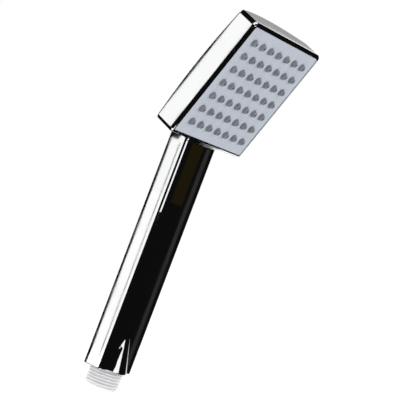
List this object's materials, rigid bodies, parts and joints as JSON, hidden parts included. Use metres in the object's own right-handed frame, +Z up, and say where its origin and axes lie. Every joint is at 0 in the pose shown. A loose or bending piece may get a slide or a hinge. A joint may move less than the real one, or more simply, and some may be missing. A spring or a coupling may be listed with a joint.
{
  "type": "handheld shower head",
  "caption": "Handheld shower head: a square chromed head with a nozzle face leans forward from a straight bar handle that ends in a threaded hose inlet.",
  "frame": {"origin": "centre of the hose thread's end face, where the hose washer seals", "axes": "+Z runs up the handle to the head, the spray face looks towards -Y and leans down, +X is across the head"},
  "size_m": [0.08, 0.0516, 0.2375],
  "materials": {
    "chromed_plastic": "bright mirror chrome",
    "white_plastic": "satin moulded plastic",
    "pale_grey_plastic": "smooth satin plastic",
    "grey_rubber": "soft matte silicone",
    "black_rubber": "matte rubber",
    "blue_plastic": "smooth moulded plastic",
    "spring_steel": "bright drawn steel"
  },
  "bodies": {
    "handset": {"body_shell": "chromed_plastic", "waterway": "white_plastic", "end_collar": "white_plastic", "collar_clip": "spring_steel", "spigot_ring_lower": "black_rubber", "spigot_ring_upper": "black_rubber", "chamber_back": "white_plastic", "chamber_gasket": "black_rubber", "spray_plate": "white_plastic", "chamber_screws": "spring_steel", "nozzle_mat": "grey_rubber", "spray_face": "pale_grey_plastic", "valve_body": "blue_plastic", "valve_cage": "blue_plastic", "valve_ring": "black_rubber", "valve_spring": "spring_steel", "flow_regulator": "white_plastic", "regulator_ring": "black_rubber", "filter_ring": "blue_plastic", "filter_screen": "spring_steel"},
    "poppet": {"valve_poppet": "blue_plastic", "poppet_seal": "black_rubber"}
  },
  "joints": [
    {"name": "poppet_lift", "type": "slide", "parent": "handset", "child": "poppet", "axis": [0, 0, 1], "range_m": [0, 0.002], "stiffness_N_per_m": 60, "springref_m": -0.001, "deforming": ["valve_spring"]}
  ]
}
